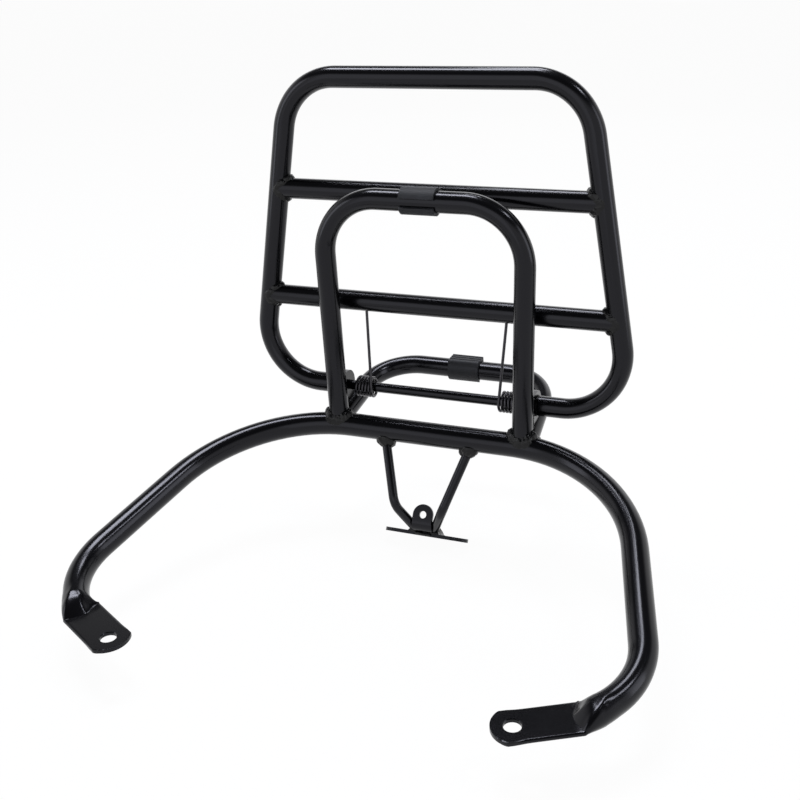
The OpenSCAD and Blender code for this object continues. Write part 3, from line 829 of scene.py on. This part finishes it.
def strut_corners():
    """Top, bend and the point where a strut's axis meets the strap's top."""
    foot = on_strap(STRUT_FOOT_X, 0, 0)
    foot.y, foot.z = STRAP_MID.y, STRAP_MID.z
    way = (foot - STRUT_MID).normalized()
    back = (STRAP_THICK / 2 + FIT_GAP - (foot - STRAP_MID).dot(STRAP_UP)) / way.dot(STRAP_UP)
    return [STRUT_TOP, STRUT_MID, foot + way * back]


def strut_rod(radius):
    """A bent strut whose foot is cut to lie on the strap."""
    top, mid, foot = strut_corners()
    way = (foot - mid).normalized()
    stations = bent_path([top, mid, foot - way * 8], [0, STRUT_BEND, 0], 6)
    rings = [round_ring(s, X, radius, 36) for s in stations]
    level = STRAP_THICK / 2 + FIT_GAP
    rings.append([p + way * ((level - (p - STRAP_MID).dot(STRAP_UP)) / way.dot(STRAP_UP)) for p in rings[-1]])
    return loft(rings)


def stadium(long, width):
    half = (long - width) / 2
    turns = [pi * k / 20 - pi / 2 for k in range(21)]
    return [(side * (half + width / 2 * cos(a)), side * width / 2 * sin(a)) for side in (1, -1) for a in turns]


class FootBracket(bpy.types.Operator):
    """Bends the two struts and makes the strap and the eye plate that stands on it"""
    bl_idname = "rack.foot_bracket"
    bl_label = "Foot bracket"

    def execute(self, context):
        right = strut_rod(in_mm("strut_d") / 2)
        painted("strut_right", [right])
        painted("strut_left", [mirrored(right)])
        holes = [circle(STRAP_HOLE_R, 32, s * STRAP_PITCH / 2) for s in (1, -1)]
        strap = painted("foot_strap", [plate(stadium(STRAP_LEN, STRAP_W), holes, STRAP_THICK,
                                             lambda x, y, z: on_strap(x, y, z - STRAP_THICK / 2))], sharp=30)
        soft_edges(strap, 0.5)
        eye = painted("eye_plate", [eye_plate()], sharp=30)
        cut(eye, [hole_cutter(on_strap(0, -EYE_FRONT + STRAP_THICK / 2, STRAP_THICK / 2 + FIT_GAP + EYE_H),
                              STRAP_REAR, EYE_HOLE_R, STRAP_THICK, 0.35)])
        return {"FINISHED"}


def eye_plate():
    """Sheet bent from a foot into an upright with a rounded top."""
    t, edge = STRAP_THICK / 2, 0.35
    base = t + FIT_GAP
    mid = EYE_BEND + t
    back = -EYE_FRONT + EYE_BEND + STRAP_THICK
    line = [(back + EYE_FOOT, base + t, 90), (back, base + t, 90)]
    for k in range(1, 13):
        a = radians(90 * k / 12)
        line.append((back - mid * sin(a), base + EYE_BEND + STRAP_THICK - mid * cos(a), 90 - 90 * k / 12))
    front, top = -EYE_FRONT + t, base + EYE_H
    line += [(front, top + EYE_W / 2 * sin(pi / 2 * k / 24), 0) for k in range(25)]
    rings = []
    for y, z, tilt in line:
        half = EYE_W / 2
        if z > top:
            half = max(0.4, sqrt(max(0.0, half ** 2 - (z - top) ** 2)))
        # Out of the sheet's front face, square to the line
        out_y, out_z = -cos(radians(tilt)), -sin(radians(tilt))
        ring = []
        for sx, sn in ((1, -1), (1, 1), (-1, 1), (-1, -1)):
            corner = [(half * sx, (t - edge) * sn), ((half - edge) * sx, t * sn)]
            ring += corner if sx == sn else corner[::-1]
        rings.append([on_strap(px, y + out_y * pn, z + out_z * pn) for px, pn in ring])
    return loft(rings)


# Springs

def spring_line():
    """The right spring's points, from its short arm's tip to its long arm's end."""
    r = in_mm("coil_d") / 2
    steps = 40
    first = HINGE + Vector((COIL_OUT_X, 0, -r))
    pts = [first.lerp(HINGE + FOOT_ARM_TIP, k / 8) for k in range(8, 0, -1)]
    count = round(COIL_TURNS * steps)
    for i in range(count + 1):
        a = radians(270 - 360 * i / steps)
        pts.append(HINGE + Vector((COIL_OUT_X - COIL_PITCH * i / steps, r * cos(a), r * sin(a))))
    root, tip = pts[-1], on_rack((ARM_X, 0, BAR_HEIGHTS[0] - 2))
    pts += [root.lerp(tip, k / 14) for k in range(1, 15)]
    return pts


class Springs(bpy.types.Operator):
    """Winds the two torsion springs round the hinge rod"""
    bl_idname = "rack.springs"
    bl_label = "Springs"

    def execute(self, context):
        r = in_mm("wire_d") / 2
        pts = spring_line()
        rings = []
        for i, p in enumerate(pts):
            heading = (pts[min(i + 1, len(pts) - 1)] - pts[max(i - 1, 0)]).normalized()
            rings.append(round_ring(Station(p, heading), X, r, 14))
        right = loft(rings)
        for part, label, side in ((right, "right", 1), (mirrored(right), "left", -1)):
            steel = drawn_steel("Oiled spring wire", "wire", 0.3, 0.8)
            spring = piece("spring_%s_wire" % label, [part], steel, None, ["spring_" + label])
            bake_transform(spring)
        return {"FINISHED"}


# Rubber buffers

def buffer_profile():
    """The buffer's section: grip with an open mouth below, grooved pad on top."""
    bore = in_mm("tube_d") / 2 + 0.1
    outer = bore + BUFFER_WALL - 0.1
    mouth = BUFFER_MOUTH / 2
    half, face, rim = BUFFER_FACE_W / 2, BUFFER_FACE, 2.2
    side = degrees(asin(half / outer)) if half < outer else 90
    low, high = mouth - 90, 90 - side
    pts = arc(outer, low, high, 30) + arc(rim, 0, 90, 6, half - rim, face - rim)
    for i in (3, 2, 1):
        c = -half + i * BUFFER_FACE_W / 4
        pts += [(c + 0.9, face), (c + 0.5, face - 0.8), (c - 0.5, face - 0.8), (c - 0.9, face)]
    return (pts + arc(rim, 90, 180, 6, rim - half, face - rim) + arc(outer, 180 - high, 180 - low, 30)
            + arc(bore, -90 - mouth, mouth - 450, 48))


class Buffers(bpy.types.Operator):
    """Moulds the two slit rubber buffers and pushes them on their tubes"""
    bl_idname = "rack.buffers"
    bl_label = "Rubber buffers"

    def execute(self, context):
        long = in_mm("buffer_length")
        profile = buffer_profile()
        for name, centre, tilt, node in (
                ("hoop_buffer_rubber", Vector((0, HOOP_CORNER.y, HOOP_CORNER.z)), -90, "hoop_buffer"),
                ("rest_buffer_rubber", Vector((BUFFER_LOW_X, REST_CORNER.y, REST_CORNER.z)), 0, "rest_buffer")):
            turn = Matrix.Rotation(radians(tilt), 3, "X")

            def place(a, b, x, centre=centre, turn=turn):
                return centre + turn @ Vector((x - long / 2, a, b))
            buffer = piece(name, [plate(profile, [], long, place)], moulded_rubber(), "carrier",
                           [node], 35)
            soft_edges(buffer, 0.45, 3, 40)
        return {"FINISHED"}


# Welds

class Welds(bpy.types.Operator):
    """Lays the weld beads at every joint of the carrier, the bracket and the rack"""
    bl_idname = "rack.welds"
    bl_label = "Welds"

    def execute(self, context):
        r, big, thin = (in_mm(key) / 2 for key in ("tube_d", "carrier_d", "strut_d"))
        thick = in_mm("bead_d")
        cross = [st.at for st in bent_path([CROSS, CARRIER_CORNER, ARM_CORNER], [0, CARRIER_BEND, 0])][:30]
        carrier = [(cross, big)]
        stem = carrier + [([HOOP_FOOT, HOOP_CORNER], r)]
        up = (HOOP_CORNER - HOOP_FOOT).normalized()
        back = (REST_CORNER - REST_FOOT).normalized()
        feet = [fillet(saddle(HOOP_FOOT + up * 40, -up, r, carrier), up, HOOP_FOOT, carrier, thick, 11),
                fillet(saddle(REST_FOOT + back * 50, -back, r, stem), back, REST_FOOT, stem, thick * 0.85, 12),
                bead(lug_seam(r), Y, thick * 0.8, 13)]
        for parts, label in ((feet, "right"), ([mirrored(p) for p in feet], "left")):
            welded("foot_welds_" + label, parts)
        top, mid, foot = strut_corners()
        around = saddle(top + (mid - top).normalized() * 30, top - mid, thin, carrier, 40)
        strut = fillet(around, mid - top, top, carrier, thick, 21, 3.2)
        welded("strut_welds", [strut, mirrored(strut)])
        beads = strap_beads(mid, foot, thin, thick)
        under = [on_strap(x, -STRAP_W / 2 - 1.0, 0.2) for x in range(-7, 8)]
        under = bead(under, STRAP_UP, 2.2, 44, False)
        welded("strap_welds", beads + [mirrored(b) for b in beads] + [under])
        bars = []
        frame_side = [([on_rack((RACK_LOW_X, 0, 0)), on_rack((RACK_TOP_X, 0, RACK_H))], r)]
        for k, height in enumerate(BAR_HEIGHTS):
            line = saddle(on_rack((rack_side_x(height) - 30, 0, height)), X, r, frame_side, 40)
            right, left = (fillet(line, -X, on_rack((0, 0, height)), frame_side, thick * 0.68, 31 + 2 * k + i)
                           for i in (0, 1))
            bars += [right, mirrored(left)]
        welded("crossbar_welds", bars, "rack")
        return {"FINISHED"}


def lug_seam(r):
    """The line where a lug's end meets the back of the hoop's leg."""
    x0, x1 = LUG_X, LUG_X + LUG_THICK
    z0, z1 = HINGE.z - LUG_R, HINGE.z + LUG_R
    out = []
    corners = ((x0, z0), (x0, z1), (x1, z1), (x1, z0), (x0, z0))
    for (xa, za), (xb, zb), count in zip(corners, corners[1:], (24, 6, 24, 6)):
        for k in range(count):
            x, z = xa + (xb - xa) * k / count, za + (zb - za) * k / count
            axis = HOOP_FOOT.lerp(HOOP_CORNER, (z - HOOP_FOOT.z) / (HOOP_CORNER.z - HOOP_FOOT.z))
            out.append(Vector((x, axis.y + sqrt(max(1.0, r * r - (x - axis.x) ** 2)), z)))
    return out


def strap_beads(mid, foot, thin, thick):
    """A bead round a strut's foot, and the wedge of weld between it and the eye plate's side."""
    heading = (foot - mid).normalized()
    top = STRAP_THICK / 2
    u = heading.orthogonal().normalized()
    ring = [p + heading * ((top + 0.3 - (p - STRAP_MID).dot(STRAP_UP)) / heading.dot(STRAP_UP))
            for p in ring_points(foot, u, heading.cross(u), thin, 72)]
    ring = [p for p in ring if (p - STRAP_MID).dot(STRAP_REAR) < STRAP_W / 2 - 1.5]
    shift = puddles(42, 0, 0, 0)[1]
    rings = []
    for k in range(37):
        y = -STRAP_W / 2 + (STRAP_W - 2) * k / 36
        swell = min(1.0, sin(pi * (k + 1) / 38) ** 0.35) * (0.9 + 0.1 * sin(k * 1.05))
        row = []
        for x, z in ((-1.2, 0), (-1.2, 7.0), (0.6, 6.6), (2.0, 5.2), (3.0, 3.8), (3.8, 2.4), (4.4, 1.1), (4.9, 0)):
            z = top + z * swell
            q = on_strap(EYE_W / 2 + x, y, z)
            row.append(q + STRAP_UP * 0.5 * noise.noise(q * 0.5 + shift) if z > top + 0.1 else q)
        rings.append(row)
    return [bead(ring, STRAP_UP, thick * 0.6, 41, False), loft(rings)]


# Stage, light and camera

# The camera as fitted to the photograph: its place, its turn, and its lens in pixels
CAMERA_AT, CAMERA_TURN = Vector((271.4, -457.8, 416.5)), Vector((1.98, 0.33, -0.259))
PHOTO_SIZE, FOCAL, CENTRE_X, CENTRE_Y, SENSOR = 800, 1041.48, 429.489, 417.828, 36.0


class Stage(bpy.types.Operator):
    """Sets the pale floor, the soft boxes and the camera at the photograph's viewing angle"""
    bl_idname = "rack.stage"
    bl_label = "Stage"

    def execute(self, context):
        scene = context.scene
        scene.view_settings.view_transform = "Standard"
        mesh = bpy.data.meshes.new("floor")
        reach = 8.0
        corners = ((-reach, -reach, 0), (reach, -reach, 0), (reach, reach, 0), (-reach, reach, 0))
        mesh.from_pydata(corners, [], [(0, 1, 2, 3)])
        floor = bpy.data.objects.new("floor", mesh)
        floor.location.z = FLOOR_Z * MM
        scene.collection.objects.link(floor)
        floor.data.materials.append(floor_paper())
        white_world(scene)
        target = Vector((0.0, 0.15, 0.12))
        for name, at, size, watts in SOFT_BOXES:
            lamp = bpy.data.lights.new(name, "AREA")
            lamp.shape = "RECTANGLE"
            lamp.size, lamp.size_y = size
            lamp.energy = watts
            lamp.color = (0.92, 0.94, 1.0)
            box = bpy.data.objects.new(name, lamp)
            box.location = at
            back = (Vector(at) - target).normalized()
            side = X if back.z > 0.7 else Z.cross(back)
            side = (side - side.dot(back) * back).normalized()
            box.rotation_euler = Matrix((side, back.cross(side), back)).transposed().to_euler()
            scene.collection.objects.link(box)
        photo_camera(scene)
        return {"FINISHED"}


SOFT_BOXES = (
    ("overhead", (-0.45, 0.45, 1.75), (0.8, 0.38), 19),
    ("overhead right", (1.14, 0.33, 1.75), (0.26, 0.34), 5),
    ("overhead back", (-0.185, 0.94, 1.6), (0.45, 0.34), 7),
    ("left", (-1.5, -0.6, 0.6), (0.5, 1.2), 4),
    ("right", (1.55, 0.3, 0.6), (0.5, 1.2), 4),
    ("front", (-0.3, -1.75, 0.7), (1.9, 1.5), 4.5),
    ("back", (-0.3, 2.3, 0.9), (2.6, 1.3), 5),
)


def seen_rays(tree):
    """1 for the rays that show the background: camera, glossy and transmission rays."""
    path = add(tree, "LightPath")
    first = add(tree, "Math", {"operation": "MAXIMUM"}, {0: (path, "Is Camera Ray"), 1: (path, "Is Glossy Ray")})
    return add(tree, "Math", {"operation": "MAXIMUM"}, {0: (first, "Value"), 1: (path, "Is Transmission Ray")})


def floor_paper():
    """Seamless white paper: bright to the camera and in reflections, and it still takes a shadow."""
    mat, tree, shader, where = start_material("Seamless white paper", {
        "Roughness": 0.9, "Specular IOR Level": 0.0})
    if tree is None:
        return mat
    fibre = add(tree, "TexNoise", {"Scale": per_mm(4), "Detail": 3.0}, where)
    tone = add(tree, "ValToRGB", {"stops": [(0.3, linear("#8c8c8e")), (0.7, linear("#949496"))]},
               {"Fac": (fibre, "Fac")})
    link(shader, {"Base Color": (tone, "Color")})
    part = add(tree, "Math", {"operation": "MULTIPLY", 1: 0.86}, {0: (seen_rays(tree), "Value")})
    glow = add(tree, "Emission", {"Color": (1, 1, 1, 1), "Strength": 1.12})
    mix = add(tree, "MixShader", {}, {"Fac": (part, "Value"), 1: (shader, "BSDF"), 2: (glow, "Emission")})
    link(tree.nodes["Material Output"], {"Surface": (mix, "Shader")})
    return mat


def white_world(scene):
    """White walls and a dark ceiling for camera and reflections, a dim even room for the light."""
    world = bpy.data.worlds.new("Studio")
    scene.world = world
    world.use_nodes = True
    tree = world.node_tree
    tree.nodes.clear()
    room = add(tree, "Background", {"Color": (0.95, 0.96, 1.0, 1), "Strength": 0.15})
    height = add(tree, "SeparateXYZ", {}, {"Vector": (add(tree, "TexCoord"), "Generated")})
    fade = add(tree, "MapRange", {"From Min": 0.4, "From Max": 0.62, "To Min": 0.97, "To Max": 0.1},
               {"Value": (height, "Z")})
    white = add(tree, "Background", {"Color": (1, 1, 1, 1)}, {"Strength": (fade, "Result")})
    mix = add(tree, "MixShader", {},
              {"Fac": (seen_rays(tree), "Value"), 1: (room, "Background"), 2: (white, "Background")})
    add(tree, "OutputWorld", {}, {"Surface": (mix, "Shader")})


def photo_camera(scene):
    """The camera that took the photograph."""
    data = bpy.data.cameras.new("photo_camera")
    data.sensor_width = SENSOR
    data.lens = FOCAL / PHOTO_SIZE * SENSOR
    data.shift_x = (PHOTO_SIZE / 2 - CENTRE_X) / PHOTO_SIZE
    data.shift_y = (CENTRE_Y - PHOTO_SIZE / 2) / PHOTO_SIZE
    data.clip_start, data.clip_end = 0.01, 50
    right, down, ahead = Matrix.Rotation(CAMERA_TURN.length, 3, CAMERA_TURN.normalized())
    cam = bpy.data.objects.new("photo_camera", data)
    grid = Matrix((right, -down, -ahead)).transposed().to_4x4()
    grid.translation = CAMERA_AT * MM
    cam.matrix_world = grid
    scene.collection.objects.link(cam)
    scene.camera = cam


class RackPanel(bpy.types.Panel):
    bl_idname = "VIEW3D_PT_luggage_rack"
    bl_label = "Luggage rack"
    bl_space_type = "VIEW_3D"
    bl_region_type = "UI"
    bl_category = "Rack"

    def draw(self, context):
        column = self.layout.column()
        for group in (context.scene.rack_sizes, context.scene.rack_colours):
            for key in group.__annotations__:
                column.prop(group, key)
        for step in STEPS:
            column.operator(step.bl_idname)


STEPS = (CarrierTube, Hoops, Hinge, FoldingRack, FootBracket, Springs, Buffers, Welds, Stage)
GROUPS = (RackSizes, RackColours)


def register():
    for cls in GROUPS + STEPS + (RackPanel,):
        bpy.utils.register_class(cls)
    bpy.types.Scene.rack_sizes = bpy.props.PointerProperty(type=RackSizes)
    bpy.types.Scene.rack_colours = bpy.props.PointerProperty(type=RackColours)


def unregister():
    del bpy.types.Scene.rack_sizes
    del bpy.types.Scene.rack_colours
    for cls in reversed(GROUPS + STEPS + (RackPanel,)):
        bpy.utils.unregister_class(cls)


def main():
    register()
    for step in STEPS:
        getattr(bpy.ops.rack, step.bl_idname.split(".")[1])()


if __name__ == "__main__":
    main()
